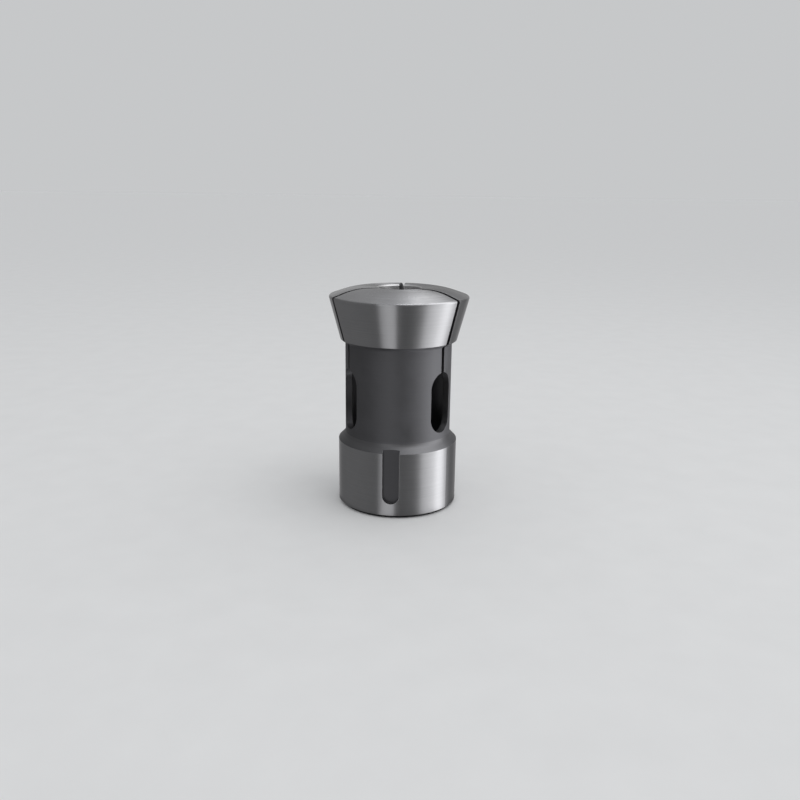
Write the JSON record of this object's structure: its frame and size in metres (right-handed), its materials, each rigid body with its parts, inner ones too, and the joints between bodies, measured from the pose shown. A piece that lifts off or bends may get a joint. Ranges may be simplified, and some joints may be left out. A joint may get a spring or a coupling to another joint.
{
  "type": "lathe spring collet",
  "caption": "Spring collet for a lathe spindle: coned head slit into jaws over round-ended windows in a thin body, ground rear guide with a keyway, and a bore for bar stock.",
  "frame": {"origin": "centre of the rear face, on the axis", "axes": "+Z along the axis from the rear face to the nose, -Y through the keyway"},
  "size_m": [0.0592, 0.0592, 0.094],
  "materials": {
    "steel": "ground on the guide, cone and nose, satin on the body"
  },
  "bodies": {
    "root": {"spring_collet": "steel"}
  },
  "joints": []
}
